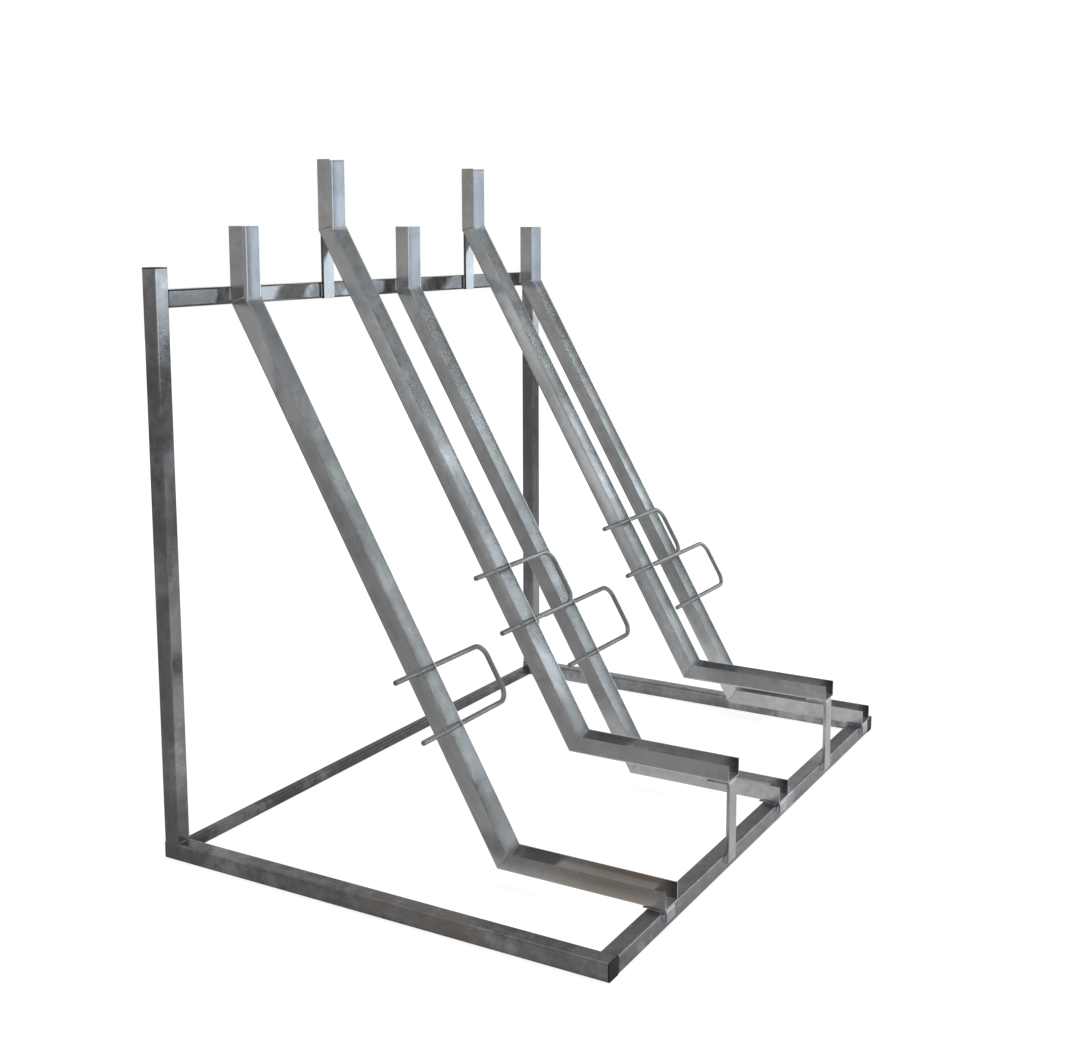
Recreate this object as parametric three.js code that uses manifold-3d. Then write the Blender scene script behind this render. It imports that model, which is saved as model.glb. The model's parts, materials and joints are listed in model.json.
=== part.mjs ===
import * as THREE from 'three';
import { mergeVertices } from 'three/addons/utils/BufferGeometryUtils.js';
import Module from 'manifold-3d';

const wasm = await Module();
wasm.setup();

// Two tier bike rack: a welded frame of box tube carries five folded wheel channels, low and high by turns.
// Millimetres. X runs across the rack, Y from the front to the rear and Z up from the ground.

// Frame
const frameWidth = 1616;
const frameDepth = 1138;
const uprightTopHeight = 1332;
const tubeSize = 40;
const tubeWall = 3;
const tubeCornerRadius = 5;
const crossMemberDrop = 48;
const groundTubeSize = 25;
const groundTubeWall = 2.5;
const groundTubeCornerRadius = 4;

// Plastic end caps
const capThickness = 3;
const capEdgeRadius = 1;
const capPlugDepth = 14;
const capPlugWall = 2;

// Wheel channels
const channelCount = 5;
const firstChannelMargin = 228;
const lastChannelMargin = 56;
const tierRise = 161;
const channelWidth = 60;
const channelDepth = 40;
const channelSheet = 3;
const channelBendRadius = 5;
const footReach = 394;
const bendAboveMember = 5;
const headLength = 171;

// Slot in each foot that the tyre sinks into
const slotLength = 240;
const slotWidth = 48;
const slotCornerRadius = 10;
const slotFromFront = 60;

// Flat bar brackets and struts
const barWidth = 40;
const barThickness = 8;
const barBendRadius = 3;
const bracketLeg = 50;
const bracketGroundClearance = 20;

// Round bar locking loops
const rodDiameter = 12;
const loopDistance = 312;
const loopSpacing = 140;
const loopReach = 262;
const loopStub = 80;
const loopBendRadius = 32;
const loopEdgeDistance = 9;

// Clearances
const jointGap = 0.3;
const cutOverrun = 1;

// Numbers of facets
const cornerSegments = 4;
const rodSides = 12;
const holeSides = 16;
const bendSteps = 6;

// Places that follow from the sizes
const memberTop = uprightTopHeight - crossMemberDrop;
const memberBottom = memberTop - tubeSize;
const memberFront = frameDepth - tubeSize;
const footUnderside = tubeSize + barThickness + jointGap;
const footFront = -barThickness;
const channelBack = memberFront - jointGap;
const upperBendHeight = memberBottom + bendAboveMember;
const inclineRun = channelBack - footReach;
const inclineClimb = upperBendHeight - footUnderside;
const inclineLength = Math.hypot(inclineRun, inclineClimb);
const inclineAngle = Math.atan2(inclineClimb, inclineRun);
const upperMitre = Math.tan((Math.PI / 2 - inclineAngle) / 2);
const lowerMitre = Math.tan(inclineAngle / 2);
const rodRadius = rodDiameter / 2;
const loopDepth = channelDepth - loopEdgeDistance;
const lastChannelX = frameWidth - lastChannelMargin - channelWidth;
const channelPitch = (lastChannelX - firstChannelMargin) / (channelCount - 1);
const overallWidth = Math.max(frameWidth, lastChannelX + loopReach + rodRadius);
const overallDepth = frameDepth - footFront;

const zincGrey = 0x8d9095;
const frameZinc = { color: zincGrey, metalness: 0.8, roughness: 0.45 };
const channelZinc = { color: 0x9a9ea4, metalness: 0.8, roughness: 0.4 };
const rodZinc = { color: 0x85878b, metalness: 0.8, roughness: 0.5 };
const blackPlastic = { color: 0x1c1c1e, metalness: 0, roughness: 0.6 };

const rack = new THREE.Group();
rack.position.set(-overallWidth / 2, -footFront - overallDepth / 2, 0);

function addPiece(parent, name, geometry, finish) {
  const mesh = new THREE.Mesh(geometry, new THREE.MeshStandardMaterial(finish));
  mesh.name = name;
  parent.add(mesh);
  return mesh;
}

function toSolid(geometry) {
  const bare = geometry.clone();
  bare.deleteAttribute('normal');
  bare.deleteAttribute('uv');
  const merged = mergeVertices(bare);
  return new wasm.Manifold(new wasm.Mesh({
    numProp: 3,
    vertProperties: Float32Array.from(merged.attributes.position.array),
    triVerts: Uint32Array.from(merged.index.array),
  }));
}

function toGeometry(solid) {
  const mesh = solid.getMesh();
  const geometry = new THREE.BufferGeometry();
  geometry.setAttribute('position', new THREE.BufferAttribute(Float32Array.from(mesh.vertProperties), 3));
  geometry.setIndex(new THREE.BufferAttribute(Uint32Array.from(mesh.triVerts), 1));
  geometry.computeVertexNormals();
  return geometry;
}

// Rectangle about the origin with round corners
function roundedRectangle(width, height, radius, target = new THREE.Shape()) {
  const x = width / 2 - radius;
  const y = height / 2 - radius;
  target.absarc(x, y, radius, 0, Math.PI / 2, false);
  target.absarc(-x, y, radius, Math.PI / 2, Math.PI, false);
  target.absarc(-x, -y, radius, Math.PI, Math.PI * 1.5, false);
  target.absarc(x, -y, radius, Math.PI * 1.5, Math.PI * 2, false);
  target.closePath();
  return target;
}

function extrude(shape, depth) {
  return new THREE.ExtrudeGeometry(shape, { depth, bevelEnabled: false, curveSegments: cornerSegments });
}

// Square tube along Z, open at both ends
function boxTube(length, size, wall, cornerRadius) {
  const section = roundedRectangle(size, size, cornerRadius);
  const bore = size - 2 * wall;
  section.holes.push(roundedRectangle(bore, bore, cornerRadius - wall, new THREE.Path()));
  return extrude(section, length);
}

function addTube(name, length, axis, x, y, z, tube) {
  const geometry = boxTube(length, tube.size, tube.wall, tube.cornerRadius);
  const mesh = addPiece(rack, name, geometry, frameZinc);
  if (axis === 'x') mesh.rotation.y = Math.PI / 2;
  if (axis === 'y') mesh.rotation.x = -Math.PI / 2;
  mesh.position.set(x, y, z);
}

// Cap with its plate on a tube's end and a hollow plug in the bore, pointing along Z
function endCap() {
  const plateSize = tubeSize - 2 * capEdgeRadius;
  const plateSection = roundedRectangle(plateSize, plateSize, tubeCornerRadius - capEdgeRadius);
  const plate = new THREE.ExtrudeGeometry(plateSection, {
    depth: capThickness - capEdgeRadius,
    bevelThickness: capEdgeRadius,
    bevelSize: capEdgeRadius,
    bevelSegments: 2,
    curveSegments: cornerSegments,
  });
  // The bevel also rounds the seat, which is cut off flat
  const seatCut = extrude(roundedRectangle(tubeSize * 2, tubeSize * 2, tubeCornerRadius), tubeSize);
  seatCut.translate(0, 0, -tubeSize);
  const plugSize = tubeSize - 2 * tubeWall - 2 * jointGap;
  const plugRadius = tubeCornerRadius - tubeWall - jointGap;
  const plugSection = roundedRectangle(plugSize, plugSize, plugRadius);
  const hollow = plugSize - 2 * capPlugWall;
  plugSection.holes.push(roundedRectangle(hollow, hollow, plugRadius / 2, new THREE.Path()));
  const plug = extrude(plugSection, capPlugDepth + capThickness / 2);
  plug.translate(0, 0, -capPlugDepth);
  return toGeometry(toSolid(plate).subtract(toSolid(seatCut)).add(toSolid(plug)));
}

// Frame
const boxSection = { size: tubeSize, wall: tubeWall, cornerRadius: tubeCornerRadius };
const groundSection = { size: groundTubeSize, wall: groundTubeWall, cornerRadius: groundTubeCornerRadius };
const innerWidth = frameWidth - 2 * tubeSize;
const leftX = tubeSize / 2;
const rightX = frameWidth - tubeSize / 2;
const uprightY = frameDepth - tubeSize / 2;
const groundRailY = frameDepth - groundTubeSize / 2;

for (const [side, x] of [['left', leftX], ['right', rightX]]) {
  const railLength = frameDepth - 2 * capThickness;
  const uprightLength = uprightTopHeight - capThickness - tubeSize;
  addTube(`${side}_side_rail`, railLength, 'y', x, capThickness, tubeSize / 2, boxSection);
  addTube(`${side}_upright`, uprightLength, 'z', x, uprightY, tubeSize, boxSection);

  const frontCap = addPiece(rack, `${side}_rail_front_cap`, endCap(), blackPlastic);
  frontCap.rotation.x = Math.PI / 2;
  frontCap.position.set(x, capThickness, tubeSize / 2);
  const rearCap = addPiece(rack, `${side}_rail_rear_cap`, endCap(), blackPlastic);
  rearCap.rotation.x = -Math.PI / 2;
  rearCap.position.set(x, frameDepth - capThickness, tubeSize / 2);
  const topCap = addPiece(rack, `${side}_upright_cap`, endCap(), blackPlastic);
  topCap.position.set(x, uprightY, uprightTopHeight - capThickness);
}
addTube('front_rail', innerWidth, 'x', tubeSize, tubeSize / 2, tubeSize / 2, boxSection);
addTube('rear_ground_rail', innerWidth, 'x', tubeSize, groundRailY, groundTubeSize / 2, groundSection);
addTube('top_cross_member', innerWidth, 'x', tubeSize, uprightY, memberTop - tubeSize / 2, boxSection);

// U section of the wheel channels: X across, Y out of the web, round on the outside of both folds
function channelSection() {
  const outer = channelBendRadius;
  const inner = channelBendRadius - channelSheet;
  const right = channelWidth - channelSheet;
  const section = new THREE.Shape();
  section.moveTo(0, channelDepth);
  section.absarc(outer, outer, outer, Math.PI, Math.PI * 1.5, false);
  section.absarc(channelWidth - outer, outer, outer, Math.PI * 1.5, Math.PI * 2, false);
  section.lineTo(channelWidth, channelDepth);
  section.lineTo(right, channelDepth);
  section.absarc(channelWidth - outer, outer, inner, Math.PI * 2, Math.PI * 1.5, true);
  section.absarc(outer, outer, inner, Math.PI * 1.5, Math.PI, true);
  section.lineTo(channelSheet, channelDepth);
  section.closePath();
  return section;
}

// Length of channel along Z whose ends are mitred: a mitre takes its slope times the depth off the length
function mitredChannel(length, startMitre, endMitre) {
  const geometry = extrude(channelSection(), length);
  const position = geometry.attributes.position;
  for (let i = 0; i < position.count; i += 1) {
    const depth = position.getY(i);
    if (position.getZ(i) < length / 2) {
      position.setZ(i, startMitre > 0 ? startMitre * depth + jointGap / 2 : 0);
    } else {
      position.setZ(i, endMitre > 0 ? length - endMitre * depth - jointGap / 2 : length);
    }
  }
  return geometry;
}

function inclineGeometry() {
  let solid = toSolid(mitredChannel(inclineLength, upperMitre, lowerMitre));
  const holeRadius = (rodRadius + jointGap) / Math.cos(Math.PI / holeSides);
  const holeLength = channelWidth + 2 * cutOverrun;
  for (const distance of [loopDistance, loopDistance + loopSpacing]) {
    const hole = new THREE.CylinderGeometry(holeRadius, holeRadius, holeLength, holeSides);
    hole.rotateZ(Math.PI / 2);
    hole.translate(channelWidth / 2, loopDepth, inclineLength - distance);
    solid = solid.subtract(toSolid(hole));
  }
  return toGeometry(solid);
}

function footGeometry() {
  const length = footReach - footFront;
  const slotSection = roundedRectangle(slotWidth, slotLength, slotCornerRadius);
  const slot = extrude(slotSection, channelSheet + 2 * cutOverrun);
  slot.rotateX(Math.PI / 2);
  slot.translate(channelWidth / 2, channelSheet + cutOverrun, length - slotFromFront - slotLength / 2);
  return toGeometry(toSolid(mitredChannel(length, lowerMitre, 0)).subtract(toSolid(slot)));
}

// U shaped rod: two legs along X joined by a straight bar and two bends, with one station per bend step
class LoopPath extends THREE.Curve {
  getPoint(t, target = new THREE.Vector3()) {
    const stations = 2 * bendSteps + 3;
    const place = t * stations;
    const bendX = loopReach - loopBendRadius;
    const half = loopSpacing / 2;
    const straight = half - loopBendRadius;
    if (place <= 1) return target.set(THREE.MathUtils.lerp(-loopStub, bendX, place), 0, half);
    if (place >= stations - 1) {
      return target.set(THREE.MathUtils.lerp(bendX, -loopStub, place - stations + 1), 0, -half);
    }
    if (place <= bendSteps + 1) {
      const angle = ((place - 1) / bendSteps) * (Math.PI / 2);
      const z = straight + loopBendRadius * Math.cos(angle);
      return target.set(bendX + loopBendRadius * Math.sin(angle), 0, z);
    }
    if (place <= bendSteps + 2) {
      return target.set(loopReach, 0, THREE.MathUtils.lerp(straight, -straight, place - bendSteps - 1));
    }
    const angle = ((place - bendSteps - 2) / bendSteps) * (Math.PI / 2);
    const z = -straight - loopBendRadius * Math.sin(angle);
    return target.set(bendX + loopBendRadius * Math.cos(angle), 0, z);
  }

  getUtoTmapping(u) {
    return u;
  }
}

function loopGeometry() {
  const points = [];
  for (let i = 0; i < rodSides; i += 1) {
    const angle = (i / rodSides) * Math.PI * 2;
    points.push(new THREE.Vector2(rodRadius * Math.cos(angle), rodRadius * Math.sin(angle)));
  }
  return new THREE.ExtrudeGeometry(new THREE.Shape(points), {
    steps: 2 * bendSteps + 3,
    extrudePath: new LoopPath(),
    bevelEnabled: false,
  });
}

// Profiles in the YZ plane are extruded along X
function layAcross(mesh, x, y, z) {
  mesh.rotation.set(Math.PI / 2, Math.PI / 2, 0);
  mesh.position.set(x, y, z);
}

// Flat bar bent over the front rail: one leg under the foot, the other down the rail's front face
function bracketGeometry(top) {
  const outer = barBendRadius + barThickness;
  const profile = new THREE.Shape();
  profile.moveTo(bracketLeg, top);
  profile.absarc(outer - barThickness, top - outer, outer, Math.PI / 2, Math.PI, false);
  profile.lineTo(-barThickness, bracketGroundClearance);
  profile.lineTo(0, bracketGroundClearance);
  profile.absarc(barBendRadius, top - outer, barBendRadius, Math.PI, Math.PI / 2, true);
  profile.lineTo(bracketLeg, top - barThickness);
  profile.closePath();
  return extrude(profile, barWidth);
}

// Flat bar between the cross member and a raised channel's upper bend, cut to the incline's slope on top
function strutGeometry() {
  const top = upperBendHeight + tierRise - memberBottom;
  const slope = Math.tan(inclineAngle);
  const clearance = jointGap / Math.cos(inclineAngle) + jointGap * slope;
  const profile = new THREE.Shape();
  profile.moveTo(0, 0);
  profile.lineTo(0, top + jointGap * slope - clearance);
  profile.lineTo(-barThickness, top - (barThickness - jointGap) * slope - clearance);
  profile.lineTo(-barThickness, 0);
  profile.closePath();
  return extrude(profile, barWidth);
}

// Wheel channels: head, incline and foot are three mitred lengths of the same folded section
for (let i = 0; i < channelCount; i += 1) {
  const number = i + 1;
  const raised = i % 2 === 1;
  const rise = raised ? tierRise : 0;
  const place = new THREE.Group();
  place.position.set(firstChannelMargin + i * channelPitch, 0, 0);
  rack.add(place);

  const headGeometry = mitredChannel(headLength, 0, upperMitre);
  const head = addPiece(place, `wheel_channel_${number}_head`, headGeometry, channelZinc);
  head.rotation.x = Math.PI;
  head.position.set(0, channelBack, upperBendHeight + headLength + rise);

  const slope = new THREE.Group();
  slope.rotation.x = Math.PI / 2 + inclineAngle;
  slope.position.set(0, channelBack, upperBendHeight + rise);
  place.add(slope);
  addPiece(slope, `wheel_channel_${number}_incline`, inclineGeometry(), channelZinc);
  const loop = addPiece(slope, `locking_loop_${number}`, loopGeometry(), rodZinc);
  loop.position.set(0, loopDepth, inclineLength - loopDistance - loopSpacing / 2);

  const foot = addPiece(place, `wheel_channel_${number}_foot`, footGeometry(), channelZinc);
  foot.rotation.x = Math.PI / 2;
  foot.position.set(0, footReach, footUnderside + rise);

  const barX = (channelWidth - barWidth) / 2;
  const bracketTop = tubeSize + barThickness + rise;
  const bracket = addPiece(place, `front_bracket_${number}`, bracketGeometry(bracketTop), channelZinc);
  layAcross(bracket, barX, 0, 0);
  if (raised) {
    const strut = addPiece(place, `rear_strut_${number}`, strutGeometry(), channelZinc);
    layAcross(strut, barX, memberFront, memberBottom);
  }
}

export default rack;
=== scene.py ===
import json
import math

import bpy
from mathutils import Matrix, Vector

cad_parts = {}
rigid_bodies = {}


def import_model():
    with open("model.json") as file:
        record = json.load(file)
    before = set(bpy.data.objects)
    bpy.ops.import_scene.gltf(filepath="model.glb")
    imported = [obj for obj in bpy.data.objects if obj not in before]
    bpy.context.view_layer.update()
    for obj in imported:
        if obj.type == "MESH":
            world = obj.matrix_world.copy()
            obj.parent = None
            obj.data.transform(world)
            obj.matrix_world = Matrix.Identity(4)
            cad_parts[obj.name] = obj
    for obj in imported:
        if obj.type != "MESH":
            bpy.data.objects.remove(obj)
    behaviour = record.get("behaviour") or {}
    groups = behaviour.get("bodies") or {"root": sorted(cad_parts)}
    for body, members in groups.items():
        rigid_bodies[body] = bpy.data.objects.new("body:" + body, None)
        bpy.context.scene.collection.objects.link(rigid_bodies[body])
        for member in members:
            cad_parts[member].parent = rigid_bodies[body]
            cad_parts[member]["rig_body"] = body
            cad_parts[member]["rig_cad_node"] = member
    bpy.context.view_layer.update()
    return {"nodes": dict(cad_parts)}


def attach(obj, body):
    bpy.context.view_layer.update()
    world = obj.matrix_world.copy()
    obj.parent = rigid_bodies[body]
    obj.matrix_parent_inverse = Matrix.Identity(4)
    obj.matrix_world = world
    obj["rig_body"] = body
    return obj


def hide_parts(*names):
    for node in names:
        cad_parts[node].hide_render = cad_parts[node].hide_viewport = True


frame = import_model()
millimetre = 0.001

# The rack's sizes in millimetres: X from the left rail's outer face, Y from the front rail's face,
# Z from the ground
rack = {
    "origin": (884, 565, 0),
    "width": 1616,
    "depth": 1138,
    "uprightTop": 1332,
    "tube": 40,
    "groundTube": 25,
    "cap": 3,
    "memberTop": 1284,
    "memberBottom": 1244,
    "memberFront": 1098,
    "firstChannel": 228,
    "channelPitch": 318,
    "channelCount": 5,
    "channelWidth": 60,
    "channelDepth": 40,
    "channelBack": 1097.7,
    "rise": 161,
    "footEnd": 394,
    "footUnderside": 48.3,
    "upperBend": 1249,
    "bar": 40,
    "barThickness": 8,
    "bracketLeg": 50,
    "bracketFoot": 20,
}
inclineRun = rack["channelBack"] - rack["footEnd"]
inclineClimb = rack["upperBend"] - rack["footUnderside"]
inclineAngle = math.atan2(inclineClimb, inclineRun)
steepness = math.tan(inclineAngle)
alongIncline = Vector((0, math.cos(inclineAngle), math.sin(inclineAngle)))
offIncline = Vector((0, -math.sin(inclineAngle), math.cos(inclineAngle)))


def inFrame(x, y, z):
    return (Vector((x, y, z)) - Vector(rack["origin"])) * millimetre


def channelPlace(index):  # a channel's left side and how far its tier is raised
    return rack["firstChannel"] + index * rack["channelPitch"], rack["rise"] * (index % 2)


print("camera")
camera = {
    "place": (-2267.504, -1179.211, 1413.569),
    "turn": -60.859,
    "tilt": 8.262,
    "roll": 0.059,
    "focalPixels": 1443.784,
    "centrePixels": (570.572, 438.803),
    "picture": (1080, 1038),
    "sensor": 36,
    "clip": (0.05, 200),
}


def addCamera():
    data = bpy.data.cameras.new("camera")
    data.sensor_fit = "HORIZONTAL"
    data.sensor_width = camera["sensor"]
    wide, high = camera["picture"]
    centreX, centreY = camera["centrePixels"]
    data.lens = camera["focalPixels"] / wide * camera["sensor"]
    data.shift_x = (wide / 2 - centreX) / wide
    data.shift_y = (centreY - high / 2) / wide
    data.clip_start, data.clip_end = camera["clip"]
    turn, tilt, roll = (math.radians(camera[k]) for k in ("turn", "tilt", "roll"))
    ahead = Vector((-math.sin(turn) * math.cos(tilt), math.cos(turn) * math.cos(tilt), -math.sin(tilt)))
    right = Vector((math.cos(turn), math.sin(turn), 0))
    up = right.cross(ahead)
    rightRolled = right * math.cos(roll) + up * math.sin(roll)
    upRolled = up * math.cos(roll) - right * math.sin(roll)
    cameraObject = bpy.data.objects.new("camera", data)
    bpy.context.scene.collection.objects.link(cameraObject)
    rotation = Matrix((rightRolled, upRolled, -ahead)).transposed().to_4x4()
    cameraObject.matrix_world = Matrix.Translation(inFrame(*camera["place"])) @ rotation
    bpy.context.scene.camera = cameraObject


addCamera()


class Value:  # a number socket that Python's operators work on
    def __init__(self, graph, socket):
        self.graph, self.socket = graph, socket

    def maths(self, operation, first, second):
        return self.graph.add("ShaderNodeMath", {"operation": operation}, {0: first, 1: second})

    def __add__(self, other):
        return self.maths("ADD", self, other)

    def __radd__(self, other):
        return self.maths("ADD", other, self)

    def __sub__(self, other):
        return self.maths("SUBTRACT", self, other)

    def __rsub__(self, other):
        return self.maths("SUBTRACT", other, self)

    def __mul__(self, other):
        return self.maths("MULTIPLY", self, other)

    def __rmul__(self, other):
        return self.maths("MULTIPLY", other, self)


class Graph:  # the nodes of one material or of the world
    def __init__(self, owner):
        owner.use_nodes = True
        self.tree = owner.node_tree
        self.tree.nodes.clear()

    def add(self, kind, settings=None, inputs=None, output=0):
        node = self.tree.nodes.new(kind)
        for name, setting in (settings or {}).items():
            setattr(node, name, setting)
        for name, given in (inputs or {}).items():
            socket = node.inputs[name]
            if isinstance(given, Value):
                self.tree.links.new(given.socket, socket)
            else:
                socket.default_value = given
        return Value(self, node.outputs[output])

    def mixColour(self, share, first, second):
        sockets = {0: share, 6: first, 7: second}
        return self.add("ShaderNodeMix", {"data_type": "RGBA"}, sockets, output=2)

    def rangeOf(self, value, low, high, toLow=0.0, toHigh=1.0):
        sockets = {"Value": value, "From Min": low, "From Max": high, "To Min": toLow, "To Max": toHigh}
        return self.add("ShaderNodeMapRange", {"interpolation_type": "SMOOTHSTEP"}, sockets)

    def larger(self, first, second):
        return self.add("ShaderNodeMath", {"operation": "MAXIMUM"}, {0: first, 1: second})

    def noise(self, vector, scale, detail, roughness=0.5):
        sockets = {"Vector": vector, "Scale": scale, "Detail": detail, "Roughness": roughness}
        return self.add("ShaderNodeTexNoise", {}, sockets)

    def rays(self):  # the camera's own rays, and those by which metal and glass see their surroundings
        kinds = ("Is Camera Ray", "Is Glossy Ray", "Is Transmission Ray")
        fromCamera, glossy, through = (self.add("ShaderNodeLightPath", output=kind) for kind in kinds)
        return fromCamera, self.larger(glossy, through)

    def finish(self, kind, surface):
        node = self.tree.nodes.new(kind)
        self.tree.links.new(surface.socket, node.inputs["Surface"])


def rgba(shade):
    return (*shade, 1)


print("finishes")
zinc = {  # what all the zinc finishes share
    "patches": (3.6, 2.0, 0.5),  # a noise's scale, detail and roughness
    "mottle": (11, 3.0, 0.6),
    "blotches": (36, 4.0, 0.65),
    "grain": (900, 2.0, 0.5),
    "streaks": (1.0, 3.0, 0.6),
    "streakAlong": 2.5,
    "streakAcross": 70,
    "spangleScale": 150,
    "mottleShare": 0.7,
    "blotchShare": 0.5,
    "streakShare": 0.5,
    "spangleShare": 0.06,
    "toneEdges": (0.2, 0.8),
    "darker": 0.42,
    "lighter": 0.34,
    "lightest": 0.95,
    "warmTint": (1.02, 0.995, 0.985),
    "coolTint": (0.965, 0.998, 1.03),
    "patchBlotch": 0.3,
    "dirtHeight": 0.5,
    "dirtEdges": (0.45, 0.7),
    "dirtEverywhere": 0.3,
    "stainEdges": (0.35, 0.65),
    "stainLeast": 0.35,
    "stainTint": (0.78, 0.66, 0.55),
    "roughBlotch": 0.16,
    "roughSpangle": 0.03,
    "smoothPatch": 0.05,
    "mottleRelief": 2.0,
    "bumpStrength": 0.2,
    "bumpDistance": 0.0006,
}
plainZinc = {  # what a finish may change
    "contrast": 1.0,
    "patches": 0.4,
    "patchEdges": (0.5, 0.66),
    "streaks": 0.5,
    "brown": 0.3,
    "roughness": 0.2,
    "metallic": 0.9,
    # painted shade: the colour that faces with painted shading take unless a finish gives another; the
    # struts' sides keep it
    "paintedShadingColour": (0.2, 0.2, 0.2),
    "paintedShadingAlong": (-0.5, 0.5),
    "paintedShadingRest": 1.0,
    "stainLevel": 0.0,
    "stainAlong": (-0.56, -0.5, -0.42, -0.3),
    "grain": 0.12,
}
turns = {  # from a piece's length to the Z axis, along which the streaks run
    "x": (0, math.pi / 2, 0),
    "y": (math.pi / 2, 0, 0),
    "z": (0, 0, 0),
    "incline": (math.pi / 2 - inclineAngle, 0, 0),
}


def tinted(shade, tint, share=1.0):
    return tuple(c * share * t for c, t in zip(shade, tint))


def zincFinish(name, axis, look):
    look = {**plainZinc, **look}
    shade, contrast = look["shade"], look["contrast"]
    material = bpy.data.materials.new(name)
    graph = Graph(material)
    place = graph.add("ShaderNodeTexCoord", output="Object")
    height = graph.add("ShaderNodeSeparateXYZ", {}, {"Vector": place}, output="Z")
    depth = graph.add("ShaderNodeSeparateXYZ", {}, {"Vector": place}, output="Y")
    turned = graph.add("ShaderNodeMapping", {}, {"Vector": place, "Rotation": turns[axis]})
    along = (zinc["streakAcross"], zinc["streakAcross"], zinc["streakAlong"])
    stretched = graph.add("ShaderNodeMapping", {}, {"Vector": turned, "Scale": along})

    patches = graph.noise(place, *zinc["patches"])
    mottle = graph.noise(place, *zinc["mottle"])
    blotches = graph.noise(place, *zinc["blotches"])
    grain = graph.noise(place, *zinc["grain"])
    streak = graph.noise(stretched, *zinc["streaks"])
    cells = {"Vector": place, "Scale": zinc["spangleScale"]}
    crystals = graph.add("ShaderNodeTexVoronoi", {"feature": "F1"}, cells, output="Color")
    crystal = graph.add("ShaderNodeSeparateColor", {}, {"Color": crystals})

    # Dark and light mottling, then the shiny patches
    tone = (
        (mottle - 0.5) * (zinc["mottleShare"] * contrast)
        + (blotches - 0.5) * (zinc["blotchShare"] * contrast)
        + (streak - 0.5) * (zinc["streakShare"] * look["streaks"] * contrast)
        + (crystal - 0.5) * (zinc["spangleShare"] * contrast)
        + 0.5
    )
    dark = tinted(shade, zinc["warmTint"], 1 - zinc["darker"] * contrast)
    light = tinted(shade, zinc["coolTint"], 1 + zinc["lighter"] * contrast)
    light = tuple(min(zinc["lightest"], c) for c in light)
    colour = graph.mixColour(graph.rangeOf(tone, *zinc["toneEdges"]), rgba(dark), rgba(light))
    shiny = graph.rangeOf(patches + (blotches - 0.5) * zinc["patchBlotch"], *look["patchEdges"])
    colour = graph.mixColour(shiny * look["patches"], colour, rgba(look["bright"]))

    # Brown dirt, most of it low down, and the stained band across a foot
    everywhere = zinc["dirtEverywhere"]
    low = graph.rangeOf(height, 0.0, zinc["dirtHeight"], 1.0, 0.0) * (1 - everywhere) + everywhere
    dirt = graph.rangeOf(mottle, *zinc["dirtEdges"]) * low * look["brown"]
    start, full, fade, end = look["stainAlong"]
    band = graph.rangeOf(depth, start, full, 0.0, look["stainLevel"])
    band = band * graph.rangeOf(depth, fade, end, 1.0, 0.0)
    stain = dirt + graph.rangeOf(streak, *zinc["stainEdges"], zinc["stainLeast"], 1.0) * band
    colour = graph.mixColour(stain, colour, rgba(tinted(shade, zinc["stainTint"])))

    # Painted shading on chosen faces: painted shade inside the feet and on the struts' sides, painted light
    # inside the heads
    paintedShading = graph.add("ShaderNodeAttribute", {"attribute_name": "paintedShading"}, output="Fac")
    paintedShading = paintedShading * graph.rangeOf(depth, *look["paintedShadingAlong"], 1.0, look["paintedShadingRest"])
    colour = graph.mixColour(paintedShading, colour, rgba(look["paintedShadingColour"]))

    rough = (blotches - 0.5) * zinc["roughBlotch"] + (crystal - 0.5) * zinc["roughSpangle"]
    rough = rough - shiny * zinc["smoothPatch"] + look["roughness"]
    relief = {
        "Strength": zinc["bumpStrength"],
        "Distance": zinc["bumpDistance"],
        "Height": grain * look["grain"] + blotches + mottle * zinc["mottleRelief"],
    }
    surface = {
        "Base Color": colour,
        "Roughness": rough,
        "Metallic": look["metallic"],
        "Normal": graph.add("ShaderNodeBump", {}, relief),
    }
    graph.finish("ShaderNodeOutputMaterial", graph.add("ShaderNodeBsdfPrincipled", {}, surface))
    return material


tubeZinc = {"shade": (0.37, 0.37, 0.38), "bright": (0.66, 0.68, 0.71), "patches": 0.7, "streaks": 0.6}
frontZinc = {**tubeZinc, "shade": (0.34, 0.337, 0.35), "brown": 0.4, "roughness": 0.36}
groundZinc = {**tubeZinc, "shade": (0.18, 0.18, 0.182), "patches": 0.5, "brown": 0.5}
sideZinc = {**tubeZinc, "brown": 0.8}
glossyZinc = {**tubeZinc, "contrast": 0.75, "roughness": 0.12, "metallic": 0.96}
uprightZinc = {**glossyZinc, "shade": (0.39, 0.39, 0.4), "brown": 0.4}
# The cross member is darker than the other tubes: painted shade standing in for the shade that falls on it
memberZinc = {**glossyZinc, "shade": (0.21, 0.21, 0.215), "patches": 0.5, "roughness": 0.15}
tubeWeldZinc = {**tubeZinc, "shade": (0.27, 0.27, 0.275), "roughness": 0.4}
sheetZinc = {
    "shade": (0.77, 0.775, 0.785),
    "bright": (0.88, 0.89, 0.91),
    "contrast": 0.7,
    "patches": 0.5,
    "metallic": 0.83,
    "grain": 0.06,
}
# The heads' inner faces take a lighter, bluish colour: painted light for the bright reflections inside the
# heads
headZinc = {**sheetZinc, "brown": 0.2, "paintedShadingColour": (0.88, 0.91, 0.97)}
inclineZinc = {**sheetZinc, "shade": (0.765, 0.775, 0.797), "brown": 0.1, "streaks": 0.8}
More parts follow.
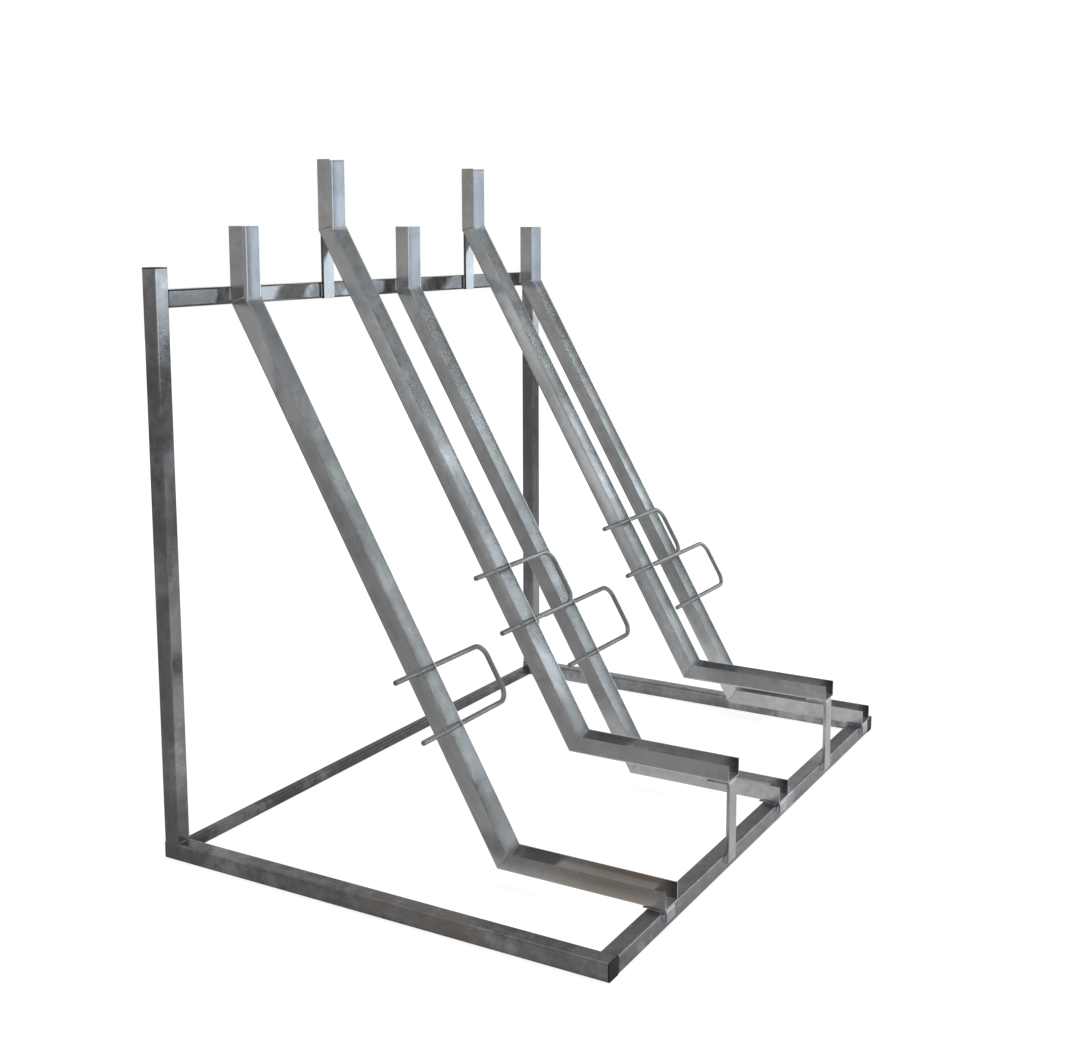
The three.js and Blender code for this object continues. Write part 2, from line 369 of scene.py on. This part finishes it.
# The feet are darker than the other sheet, and their inner faces take painted shade, darkest at the open
# front end
footZinc = {
    **sheetZinc,
    "shade": (0.7, 0.704, 0.71),
    "brown": 0.3,
    "stainLevel": 0.15,
    "paintedShadingColour": (0.2, 0.195, 0.19),
    "paintedShadingAlong": (-0.568, -0.535),
    "paintedShadingRest": 0.25,
}
# The first foot's lighter shade is painted light on its outer face; its brown stain band is a real stain
stainedFootZinc = {
    **footZinc,
    "shade": (0.86, 0.862, 0.865),
    "brown": 0.4,
    "stainLevel": 1.0,
    "paintedShadingRest": 0.45,
}
barZinc = {**sheetZinc, "shade": (0.6, 0.62, 0.64), "brown": 0.3}
sheetWeldZinc = {**sheetZinc, "shade": (0.6, 0.61, 0.62), "roughness": 0.36}
rodZinc = {"shade": (0.42, 0.42, 0.42), "bright": (0.62, 0.62, 0.62), "contrast": 0.6, "roughness": 0.38}

plastic = {
    "black": (0.012, 0.012, 0.013),
    "dusty": (0.035, 0.034, 0.033),
    "dust": (60.0, 4.0),  # a noise's scale and detail
    "dustEdges": (0.45, 0.75),
    "pores": (2600.0, 1.0),
    "roughness": 0.4,
    "roughDust": 0.3,
    "bumpStrength": 0.25,
    "bumpDistance": 0.0002,
}


def plasticFinish(name):
    material = bpy.data.materials.new(name)
    graph = Graph(material)
    place = graph.add("ShaderNodeTexCoord", output="Object")
    dust = graph.noise(place, *plastic["dust"])
    relief = {
        "Strength": plastic["bumpStrength"],
        "Distance": plastic["bumpDistance"],
        "Height": graph.noise(place, *plastic["pores"]),
    }
    dusty = graph.rangeOf(dust, *plastic["dustEdges"])
    surface = {
        "Base Color": graph.mixColour(dusty, rgba(plastic["black"]), rgba(plastic["dusty"])),
        "Roughness": dust * plastic["roughDust"] + plastic["roughness"],
        "Normal": graph.add("ShaderNodeBump", {}, relief),
    }
    graph.finish("ShaderNodeOutputMaterial", graph.add("ShaderNodeBsdfPrincipled", {}, surface))
    return material


finishes = {
    "frontTube": zincFinish("tubeZincFront", "x", frontZinc),
    "memberTube": zincFinish("tubeZincMember", "x", memberZinc),
    "groundTube": zincFinish("tubeZincGround", "x", groundZinc),
    "sideTube": zincFinish("tubeZincSide", "y", sideZinc),
    "uprightTube": zincFinish("tubeZincUpright", "z", uprightZinc),
    "head": zincFinish("sheetZincHead", "z", headZinc),
    "incline": zincFinish("sheetZincIncline", "incline", inclineZinc),
    "foot": zincFinish("sheetZincFoot", "y", footZinc),
    "stainedFoot": zincFinish("sheetZincStainedFoot", "y", stainedFootZinc),
    "bar": zincFinish("barZinc", "z", barZinc),
    "rod": zincFinish("rodZinc", "x", rodZinc),
    "tubeWeld": zincFinish("tubeWeldZinc", "z", tubeWeldZinc),
    "sheetWeld": zincFinish("sheetWeldZinc", "z", sheetWeldZinc),
    "plastic": plasticFinish("blackPlastic"),
}


def deselectAll():
    if bpy.context.object and bpy.context.object.mode != "OBJECT":
        bpy.ops.object.mode_set(mode="OBJECT")
    bpy.ops.object.select_all(action="DESELECT")


def select(*objects):
    deselectAll()
    for o in objects:
        o.select_set(True)
    bpy.context.view_layer.objects.active = objects[-1]


def copyOf(piece):
    select(piece)
    bpy.ops.object.duplicate()
    return bpy.context.object


def applyPlace(piece):
    select(piece)
    bpy.ops.object.transform_apply(location=True, rotation=True, scale=True)


def plainName(node):
    first, *rest = node.split("_")
    return first + "".join(word.capitalize() for word in rest)


def setUp(piece, name, finish, slot, *nodes):
    piece.name = piece.data.name = name
    piece.data.materials.clear()
    piece.data.materials.append(finishes[finish])
    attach(piece, "root")
    if nodes:
        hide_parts(*nodes)
    return piece


# Tubes, channels and bars: the frame's own shapes with their cut edges eased
steel = {
    "tube": {"edge": 0.5, "segments": 2},
    "sheet": {"edge": 0.45, "segments": 2},
    "bar": {"edge": 0.8, "segments": 2},
    "mergeDistance": 0.002,
    "flatAngle": 1,
    "sharpAngle": 40,
    "freeEdge": 1.1,
    "freeSegments": 3,
    "longEdge": 60,
    "offCentre": 10,
    "sideways": 0.9,
}
openSides = {
    "head": Vector((0, -1, 0)),
    "incline": offIncline,
    "foot": Vector((0, 0, 1)),
    "stainedFoot": Vector((0, 0, 1)),
}


def selectFaces(piece, test):
    bpy.ops.object.mode_set(mode="EDIT")
    bpy.ops.mesh.select_mode(type="FACE")
    bpy.ops.mesh.select_all(action="DESELECT")
    bpy.ops.object.mode_set(mode="OBJECT")
    for face in piece.data.polygons:
        face.select = bool(test(face.center, face.normal))
    bpy.ops.object.mode_set(mode="EDIT")


def selectEdges(piece, test):
    bpy.ops.object.mode_set(mode="EDIT")
    bpy.ops.mesh.select_mode(type="EDGE")
    bpy.ops.mesh.select_all(action="DESELECT")
    bpy.ops.object.mode_set(mode="OBJECT")
    corners = piece.data.vertices
    for edge in piece.data.edges:
        edge.select = bool(test(*(corners[i].co for i in edge.vertices)))
    bpy.ops.object.mode_set(mode="EDIT")


def roundFreeEdges(piece, outwards):  # the flanges' long edges, which the zinc has rounded
    rim = max(v.co.dot(outwards) for v in piece.data.vertices) - steel["mergeDistance"] * millimetre
    longest = steel["longEdge"] * millimetre
    selectEdges(piece, lambda a, b: min(a.dot(outwards), b.dot(outwards)) > rim and (a - b).length > longest)
    bpy.ops.mesh.bevel(offset=steel["freeEdge"] * millimetre, segments=steel["freeSegments"])
    bpy.ops.object.mode_set(mode="OBJECT")


def paintShadingOnFaces(piece, test):  # these faces take the finish's painted shading colour
    shadingLayer = piece.data.attributes.new("paintedShading", "FLOAT", "FACE")
    for face in piece.data.polygons:
        shadingLayer.data[face.index].value = float(test(face.center, face.normal))


def paintShadingInside(piece):
    middle = sum(v.co.x for v in piece.data.vertices) / len(piece.data.vertices)
    away = steel["offCentre"] * millimetre
    paintShadingOnFaces(piece, lambda centre, normal: normal.x * (centre.x - middle) < -away)


def dressed(node, kind, finish, slot):
    piece = copyOf(frame["nodes"][node])
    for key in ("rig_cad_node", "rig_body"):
        if key in piece:
            del piece[key]
    piece.parent = None
    piece.matrix_world = Matrix.Identity(4)
    bpy.ops.object.mode_set(mode="EDIT")
    bpy.ops.mesh.select_all(action="SELECT")
    bpy.ops.mesh.remove_doubles(threshold=steel["mergeDistance"] * millimetre)
    bpy.ops.mesh.dissolve_limited(angle_limit=math.radians(steel["flatAngle"]))
    bpy.ops.object.mode_set(mode="OBJECT")
    if finish in openSides:
        roundFreeEdges(piece, openSides[finish])
    bevel = piece.modifiers.new("easedEdges", "BEVEL")
    bevel.limit_method = "ANGLE"
    bevel.angle_limit = math.radians(steel["sharpAngle"])
    bevel.width = steel[kind]["edge"] * millimetre
    bevel.segments = steel[kind]["segments"]
    bpy.ops.object.modifier_apply(modifier=bevel.name)
    bpy.ops.object.shade_smooth_by_angle(angle=math.radians(steel["sharpAngle"]))
    weighted = piece.modifiers.new("flatFaces", "WEIGHTED_NORMAL")
    weighted.keep_sharp = True
    bpy.ops.object.modifier_apply(modifier=weighted.name)
    return setUp(piece, plainName(node), finish, slot, node)


print("tubes")
tubes = {
    "left_side_rail": "sideTube",
    "right_side_rail": "sideTube",
    "front_rail": "frontTube",
    "rear_ground_rail": "groundTube",
    "left_upright": "uprightTube",
    "right_upright": "uprightTube",
    "top_cross_member": "memberTube",
}
for node, finish in tubes.items():
    dressed(node, "tube", finish, "galvanised_tube")

print("channels and bars")
for number in range(1, rack["channelCount"] + 1):
    for part in ("head", "incline", "foot"):
        finish = "stainedFoot" if part == "foot" and number == 1 else part
        piece = dressed(f"wheel_channel_{number}_{part}", "sheet", finish, "galvanised_sheet")
        # Painted light inside the heads and painted shade inside the feet, as their finishes give
        if part != "incline":
            paintShadingInside(piece)
    dressed(f"front_bracket_{number}", "bar", "bar", "galvanised_sheet")
for number in (2, 4):  # only the raised channels have a strut
    piece = dressed(f"rear_strut_{number}", "bar", "bar", "galvanised_sheet")
    # The struts' sideways faces take painted shade
    paintShadingOnFaces(piece, lambda centre, normal: abs(normal.x) > steel["sideways"])


print("end caps")
cap = {
    "size": 40,
    "thick": 2.7,
    "corner": 5,
    "cornerSegments": 8,
    "edge": 1.2,
    "edgeSegments": 4,
    "crown": ((0.72, 0.2), (0.5, 0.1)),  # how much each step shrinks the face, and raises it
    "plug": 33.4,
    "plugDepth": 14,
    "plugTaper": 0.98,
    "plugWall": 2,
    "plugFloor": 1,
    "nearTop": 0.9,
    "facing": 0.99,
    "sharpAngle": 40,
}


def stepIn(share, rise):
    bpy.ops.mesh.extrude_region_move(TRANSFORM_OT_translate={"value": (0, 0, rise * millimetre)})
    bpy.ops.transform.resize(value=(share, share, 1))


def capMaster():
    deselectAll()
    thick, size = cap["thick"] * millimetre, cap["size"] * millimetre
    top = thick * cap["nearTop"]
    bpy.ops.mesh.primitive_cube_add(size=1, location=(0, 0, 0))
    piece = bpy.context.object
    piece.scale = (size, size, thick)
    piece.location = (0, 0, thick / 2)
    applyPlace(piece)
    selectEdges(piece, lambda a, b: abs(a.z - b.z) > thick / 2)
    bpy.ops.mesh.bevel(offset=cap["corner"] * millimetre, segments=cap["cornerSegments"])
    selectEdges(piece, lambda a, b: min(a.z, b.z) > top)
    bpy.ops.mesh.bevel(offset=cap["edge"] * millimetre, segments=cap["edgeSegments"])
    selectFaces(piece, lambda centre, normal: normal.z > cap["facing"] and centre.z > top)
    for share, rise in cap["crown"]:
        stepIn(share, rise)
    selectFaces(piece, lambda centre, normal: normal.z < -cap["facing"])
    stepIn(cap["plug"] / cap["size"], 0)
    stepIn(cap["plugTaper"], -cap["plugDepth"])
    stepIn(1 - 2 * cap["plugWall"] / cap["plug"], 0)
    stepIn(1, cap["plugDepth"] - cap["plugFloor"])
    bpy.ops.mesh.select_all(action="SELECT")
    bpy.ops.mesh.normals_make_consistent(inside=False)
    bpy.ops.object.mode_set(mode="OBJECT")
    bpy.ops.object.shade_smooth_by_angle(angle=math.radians(cap["sharpAngle"]))
    return piece


master = capMaster()
half = rack["tube"] / 2
for side, x in (("left", half), ("right", rack["width"] - half)):
    for end, place, turn in (
        ("rail_front", (x, rack["cap"], half), (math.pi / 2, 0, 0)),
        ("rail_rear", (x, rack["depth"] - rack["cap"], half), (-math.pi / 2, 0, 0)),
        ("upright", (x, rack["depth"] - half, rack["uprightTop"] - rack["cap"]), (0, 0, 0)),
    ):
        piece = copyOf(master)
        piece.rotation_euler = turn
        piece.location = inFrame(*place)
        applyPlace(piece)
        node = f"{side}_{end}_cap"
        setUp(piece, plainName(node), "plastic", "cap_plastic", node)
bpy.data.objects.remove(master)


print("locking loops")
loop = {
    "rod": 12,
    "sides": 20,
    "distance": 312,
    "spacing": 140,
    "reach": 262,
    "stub": 80,
    "bend": 32,
    "bendSteps": 10,
    "fromBack": 31,
    "endBevel": 1.2,
    "endSegments": 2,
    "endReach": 0.1,
    "mergeDistance": 0.01,
    "sharpAngle": 40,
}


def loopMaster():
    deselectAll()
    high, bend = loop["spacing"] / 2 * millimetre, loop["bend"] * millimetre
    stub, reach = loop["stub"] * millimetre, loop["reach"] * millimetre
    bpy.ops.mesh.primitive_circle_add(
        vertices=loop["sides"],
        radius=loop["rod"] / 2 * millimetre,
        fill_type="NGON",
        location=(-stub, 0, high),
        rotation=(0, math.pi / 2, 0),
    )
    piece = bpy.context.object
    applyPlace(piece)
    bpy.ops.object.mode_set(mode="EDIT")
    bpy.ops.mesh.select_all(action="SELECT")
    leg = reach - bend + stub
    for run, centre in (
        ((leg, 0, 0), (reach - bend, 0, high - bend)),
        ((0, 0, -2 * (high - bend)), (reach - bend, 0, -(high - bend))),
    ):
        bpy.ops.mesh.extrude_region_move(TRANSFORM_OT_translate={"value": run})
        bpy.ops.mesh.spin(steps=loop["bendSteps"], angle=math.pi / 2, center=centre, axis=(0, -1, 0))
    bpy.ops.mesh.extrude_region_move(TRANSFORM_OT_translate={"value": (-leg, 0, 0)})
    bpy.ops.mesh.select_all(action="SELECT")
    bpy.ops.mesh.remove_doubles(threshold=loop["mergeDistance"] * millimetre)
    bpy.ops.mesh.normals_make_consistent(inside=False)
    ends = -stub + loop["endReach"] * millimetre
    selectEdges(piece, lambda a, b: max(a.x, b.x) < ends)
    bpy.ops.mesh.bevel(offset=loop["endBevel"] * millimetre, segments=loop["endSegments"])
    bpy.ops.object.mode_set(mode="OBJECT")
    bpy.ops.object.shade_smooth_by_angle(angle=math.radians(loop["sharpAngle"]))
    return piece


def onIncline(index, distance, depth, x=0):
    left, rise = channelPlace(index)
    start = Vector((left + x, rack["footEnd"], rack["footUnderside"] + rise))
    return start + alongIncline * distance + offIncline * depth


master = loopMaster()
for index in range(rack["channelCount"]):
    piece = copyOf(master)
    piece.rotation_euler = (inclineAngle - math.pi / 2, 0, 0)
    piece.location = inFrame(*onIncline(index, loop["distance"] + loop["spacing"] / 2, loop["fromBack"]))
    applyPlace(piece)
    node = f"locking_loop_{index + 1}"
    setUp(piece, plainName(node), "rod", "galvanised_rod", node)
bpy.data.objects.remove(master)


print("welds")
weld = {
    "sides": 8,
    "pitch": 1.6,
    "leastCuts": 3,
    "ripple": 0.86,  # of the bead's radius, as are the first and second ring from each end
    "firstRing": 0.45,
    "secondRing": 0.85,
    "fillet": 3.0,
    "groundFillet": 2.4,
    "ringGap": 0.6,
    "ringRadius": 2.0,
    "ringSides": 32,
    "sunk": 1.5,
    "gap": 4,  # from a bead's end to the edge of what it runs along
    "frontGap": 5,
    "rearGap": 6,
    "groundGap": 3,
}


def weldBead(start, end, radius):
    start, end = inFrame(*start), inFrame(*end)
    length = (end - start).length
    cuts = max(weld["leastCuts"], round(length / (weld["pitch"] * millimetre)))
    deselectAll()
    bpy.ops.mesh.primitive_cylinder_add(vertices=weld["sides"], radius=radius * millimetre, depth=length)
    piece = bpy.context.object
    selectEdges(piece, lambda a, b: abs(a.z - b.z) > length / 2)
    bpy.ops.mesh.subdivide(number_cuts=cuts)
    bpy.ops.object.mode_set(mode="OBJECT")
    step = length / (cuts + 1)
    for v in piece.data.vertices:
        ring = round((v.co.z + length / 2) / step)
        share = weld["ripple"] if ring % 2 else 1.0
        if ring in (0, cuts + 1):
            share = weld["firstRing"]
        elif ring in (1, cuts):
            share = weld["secondRing"]
        v.co.x *= share
        v.co.y *= share
    piece.rotation_mode = "QUATERNION"
    piece.rotation_quaternion = (end - start).to_track_quat("Z", "Y")
    piece.location = (start + end) / 2
    return piece


def weldRing(index, distance, x):  # round a loop's leg where it passes through a flange
    deselectAll()
    bpy.ops.mesh.primitive_torus_add(
        major_segments=weld["ringSides"],
        minor_segments=weld["sides"],
        major_radius=(loop["rod"] / 2 + weld["ringGap"]) * millimetre,
        minor_radius=weld["ringRadius"] * millimetre,
    )
    piece = bpy.context.object
    piece.rotation_euler = (0, math.pi / 2, 0)
    piece.location = inFrame(*onIncline(index, distance, loop["fromBack"], x))
    return piece


def sideBeads(sides, start, end, radius):  # alike at each side's X, from one Y and Z to another
    return [weldBead((x, *start), (x, *end), radius) for x in sides]


def beadAcross(sides, gap, y, z, radius):  # from side to side, less a gap at each end
    left, right = sides
    return weldBead((left + gap, y, z), (right - gap, y, z), radius)


def weldGroup(name, beads, finish, slot):
    select(*beads)
    bpy.ops.object.join()
    piece = bpy.context.object
    applyPlace(piece)
    bpy.ops.object.shade_smooth()
    return setUp(piece, name, finish, slot)


def frameWelds():
    tube, ground, wide, deep = rack["tube"], rack["groundTube"], rack["width"], rack["depth"]
    top, bottom, front = rack["memberTop"], rack["memberBottom"], rack["memberFront"]
    r, small, gap = weld["fillet"], weld["groundFillet"], weld["gap"]
    nearFront, nearRear, nearGround = weld["frontGap"], deep - weld["rearGap"], weld["groundGap"]
    seam = tube - weld["sunk"]
    beads = []
    for face, inwards in ((0, 1), (wide, -1)):
        # The upright on the side rail
        start, end = face + inwards * gap, face + inwards * (tube - gap)
        beads.append(weldBead((start, front, tube), (end, front, tube), r))
        onRail = (face + inwards * r, face + inwards * (tube - r))
        beads += sideBeads(onRail, (front + gap, seam), (nearRear, seam), r)
        # The front rail and the rear ground rail at the side rail
        joint = (face + inwards * tube,)
        beads += sideBeads(joint, (nearFront, seam), (tube - gap, seam), r)
        beads += sideBeads(joint, (tube, nearFront), (tube, tube - gap), r)
        beads += sideBeads(joint, (deep - ground, gap), (deep - ground, ground - nearGround), small)
        beads += sideBeads(joint, (deep - ground + nearGround, ground), (nearRear, ground), small)
        # The top cross member at the upright
        beads += sideBeads(joint, (front + gap, top), (deep - gap, top), r)
        beads += sideBeads(joint, (front + gap, bottom), (deep - gap, bottom), r)
        beads += sideBeads(joint, (front + r, bottom + gap), (front + r, top - gap), r)
        beads += sideBeads(joint, (deep - r, bottom + gap), (deep - r, top - gap), r)
    return beads


mitreWeld = {
    "flange": 2.2,
    "proud": 1,
    "fromCorner": 3,
    "fromRim": 1,
    "web": 2.6,
    "webGap": 4,
    "webSunk": 0.2,
    "webForward": 1,
}


def mitreWelds(index):  # a channel's two mitres, and the loop's legs in its flanges
    left, rise = channelPlace(index)
    wide, deep, back = rack["channelWidth"], rack["channelDepth"], rack["channelBack"]
    upper, under, bend = rack["upperBend"] + rise, rack["footUnderside"] + rise, rack["footEnd"]
    upperMitre = math.tan((math.pi / 2 - inclineAngle) / 2)
    lowerMitre = math.tan(inclineAngle / 2)
    flange, web, sunk = mitreWeld["flange"], mitreWeld["web"], mitreWeld["webSunk"]
    corner, rim = mitreWeld["fromCorner"], deep - mitreWeld["fromRim"]
    inset = flange - mitreWeld["proud"]
    sides = (left + inset, left + wide - inset)
    beads = sideBeads(
        sides, (back - corner, upper + corner * upperMitre), (back - rim, upper + deep * upperMitre), flange
    )
    beads += sideBeads(
        sides, (bend - corner * lowerMitre, under + corner), (bend - deep * lowerMitre, under + rim), flange
    )
    for distance in (loop["distance"], loop["distance"] + loop["spacing"]):
        beads += [weldRing(index, distance, x) for x in (0, wide)]
    sides, gap = (left, left + wide), mitreWeld["webGap"]
    beads.append(beadAcross(sides, gap, back - web, upper - sunk, web))
    beads.append(beadAcross(sides, gap, bend - mitreWeld["webForward"], under + web - sunk, web))
    return beads


memberWeld = {
    "fromTop": 3,
    "headFromBottom": 7,
    "headGap": 6,
    "strutFromBottom": 4,
    "strutGap": 3,
    "strutTop": (1, 2),  # forward of the strut's rear face, and below the channel's bend
}


def memberWelds(index):  # a low channel's head or a raised channel's strut on the top cross member
    left, rise = channelPlace(index)
    sides = (left, left + rack["channelWidth"])
    top, bottom, front = rack["memberTop"], rack["memberBottom"], rack["memberFront"]
    r, high = weld["fillet"], top - memberWeld["fromTop"]
    if not rise:
        beads = sideBeads(sides, (front, bottom + memberWeld["headFromBottom"]), (front, high), r)
        return beads + [beadAcross(sides, memberWeld["headGap"], front, top, r)]
    sides, gap, thick = barSides(index), memberWeld["strutGap"], rack["barThickness"]
    bend = rack["upperBend"] + rise
    forward, below = memberWeld["strutTop"]
    beads = sideBeads(sides, (front, bottom + memberWeld["strutFromBottom"]), (front, high), r)
    for y, z in ((front, top), (front - forward, bend - below), (front - thick, bend - thick * steepness)):
        beads.append(beadAcross(sides, gap, y, z, r))
    return beads


bracketWeld = {
    "side": 2.4,
    "under": 2.2,
    "front": 2.6,
    "gap": 2,
    "tubeGap": 4,
    "lip": 1,
    "frontPlace": (-5.4, -2.2),  # Y, and Z from the foot's underside
}


def barSides(index):
    left = channelPlace(index)[0] + (rack["channelWidth"] - rack["bar"]) / 2
    return left, left + rack["bar"]


def bracketWelds(index):  # a bracket on the front rail's face and under the channel's foot
    rise = channelPlace(index)[1]
    sides, under = barSides(index), rack["footUnderside"] + rise
    tube, leg, foot = rack["tube"], rack["bracketLeg"], rack["bracketFoot"]
    side, below, gap = bracketWeld["side"], bracketWeld["under"], bracketWeld["gap"]
    lip, tubeGap = bracketWeld["lip"], bracketWeld["tubeGap"]
    frontY, frontZ = bracketWeld["frontPlace"]
    beads = sideBeads(sides, (0, foot + gap), (0, tube - tubeGap), side)
    beads.append(beadAcross(sides, gap, -lip, foot - lip, weld["fillet"]))
    beads += sideBeads(sides, (gap, under), (leg - gap, under), below)
    beads.append(beadAcross(sides, gap, leg, under, side))
    beads.append(beadAcross(sides, gap, frontY, under + frontZ, bracketWeld["front"]))
    if not rise:
        beads += sideBeads(sides, (tubeGap, tube), (tube - tubeGap, tube), side)
    return beads


weldGroup("frameWelds", frameWelds(), "tubeWeld", "galvanised_tube")
for index in range(rack["channelCount"]):
    beads = mitreWelds(index) + memberWelds(index) + bracketWelds(index)
    weldGroup(f"wheelChannel{index + 1}Welds", beads, "sheetWeld", "galvanised_sheet")


print("stage and light")
# Lengths in metres, edges as the cosine of an angle, heights as the sine of one
studio = {
    "floor": {"size": 24, "below": 0.0005, "shade": 0.4, "lifts": (0.84, 1.0), "reach": (1.6, 5.0)},
    "pool": {"centre": (0.8, -0.5, 0), "reach": (0.9, 2.2), "lift": 0.35},  # a painted pool of light on the floor, seen only in the metal's reflections
    "backdrop": {  # the white that stands behind the rack
        "towards": (0.864, 0.482, 0),
        "edges": (0.87, 0.93),
        "heights": (0.14, 0.2),
        "reach": (2.5, 4.5),
    },
    "room": {"level": 0.30, "colour": (1.0, 0.985, 0.965)},
    "window": {  # wide and low
        "towards": (0.77, -0.64, 0),
        "edges": (-0.1, 0.5),
        "heights": (0.17, 0.34),
        "level": 1.42,
        "colour": (0.9, 0.975, 1.02),
    },
    "pane": {"towards": (0.842, -0.429, 0.326), "edges": (0.988, 0.997), "level": 3.4},
    "card": {"towards": (0.765, -0.407, 0.5), "edges": (0.92, 0.975), "depth": 0.85},
    "overhead": {"heights": (0.62, 0.95), "level": 0.25},
}
lamps = {
    "window": {
        "place": (4.2, -1.95, 2.2),
        "aim": (0, 0, 0.6),
        "size": (1.2, 1.5),
        "power": 30,
        "colour": (0.9, 0.975, 1.0),
    },
    "top": {
        "place": (0.2, -0.6, 4.2),
        "aim": (0, 0, 0.5),
        "size": (3.0, 3.0),
        "power": 45,
        "colour": (1.0, 0.99, 0.97),
    },
}


def inSight(graph, direction, thing):  # 1 where this direction meets the thing, 0 beside it
    towards = Vector(studio[thing]["towards"]).normalized()
    facing = graph.add(
        "ShaderNodeVectorMath", {"operation": "DOT_PRODUCT"}, {0: direction, 1: towards}, output="Value"
    )
    return graph.rangeOf(facing, *studio[thing]["edges"])


def underHeight(graph, height, thing):  # 1 below the thing's upper edge, 0 above it
    return graph.rangeOf(height, *studio[thing]["heights"], 1.0, 0.0)


def addFloor():
    look, pool = studio["floor"], studio["pool"]
    deselectAll()
    bpy.ops.mesh.primitive_plane_add(size=look["size"], location=(0, 0, -look["below"]))
    floor = bpy.context.object
    floor.name = "floor"
    material = bpy.data.materials.new("paleFloor")
    material.cycles.emission_sampling = "NONE"
    graph = Graph(material)
    plain = graph.add("ShaderNodeBsdfDiffuse", {}, {"Color": rgba((look["shade"],) * 3)})
    place = graph.add("ShaderNodeTexCoord", output="Object")
    away = graph.add("ShaderNodeVectorMath", {"operation": "LENGTH"}, {0: place}, output="Value")
    direction = graph.add("ShaderNodeVectorMath", {"operation": "NORMALIZE"}, {0: place})
    places = {0: place, 1: pool["centre"]}
    fromPool = graph.add("ShaderNodeVectorMath", {"operation": "DISTANCE"}, places, output="Value")
    seen = graph.rangeOf(away, *look["reach"], *look["lifts"])
    # painted pool of light near the rack, for glossy rays only
    paintedPool = graph.rangeOf(fromPool, *pool["reach"], pool["lift"], 0.0)
    behind = inSight(graph, direction, "backdrop") * graph.rangeOf(away, *studio["backdrop"]["reach"])
    fromCamera, mirrored = graph.rays()
    lift = fromCamera * seen + mirrored * graph.larger(behind, paintedPool)
    glow = graph.add("ShaderNodeEmission", {}, {"Color": (1, 1, 1, 1), "Strength": lift})
    graph.finish("ShaderNodeOutputMaterial", graph.add("ShaderNodeAddShader", {}, {0: plain, 1: glow}))
    floor.data.materials.append(material)


def addWorld():
    room, window = studio["room"], studio["window"]
    world = bpy.data.worlds.new("studio")
    bpy.context.scene.world = world
    graph = Graph(world)
    direction = graph.add("ShaderNodeTexCoord", output="Generated")
    height = graph.add("ShaderNodeSeparateXYZ", {}, {"Vector": direction}, output="Z")
    inWindow = inSight(graph, direction, "window") * underHeight(graph, height, "window")
    card = inSight(graph, direction, "card")
    pane = inSight(graph, direction, "pane")
    level = inWindow * (window["level"] - room["level"]) + room["level"]
    level = level * (1 - card * studio["card"]["depth"]) + pane * studio["pane"]["level"]
    overhead = studio["overhead"]
    level = level + graph.rangeOf(height, *overhead["heights"], 0.0, overhead["level"])
    colour = graph.mixColour(graph.larger(inWindow, pane), rgba(room["colour"]), rgba(window["colour"]))
    behind = inSight(graph, direction, "backdrop") * underHeight(graph, height, "backdrop")
    fromCamera, mirrored = graph.rays()
    white = graph.larger(fromCamera, mirrored * behind)
    light = {
        "Color": graph.mixColour(white, colour, (1, 1, 1, 1)),
        "Strength": white + (1 - white) * level,
    }
    graph.finish("ShaderNodeOutputWorld", graph.add("ShaderNodeBackground", {}, light))


def addLamp(name, lamp):
    data = bpy.data.lights.new(name, "AREA")
    data.shape = "RECTANGLE"
    data.size, data.size_y = lamp["size"]
    data.energy = lamp["power"]
    data.color = lamp["colour"]
    light = bpy.data.objects.new(name, data)
    bpy.context.scene.collection.objects.link(light)
    light.location = lamp["place"]
    aim = Vector(lamp["aim"]) - light.location
    light.rotation_mode = "QUATERNION"
    light.rotation_quaternion = aim.to_track_quat("-Z", "Y")
    light.visible_camera = False
    light.visible_glossy = False


addFloor()
addWorld()
for name, lamp in lamps.items():
    addLamp(name, lamp)
bpy.context.scene.view_settings.view_transform = "Standard"
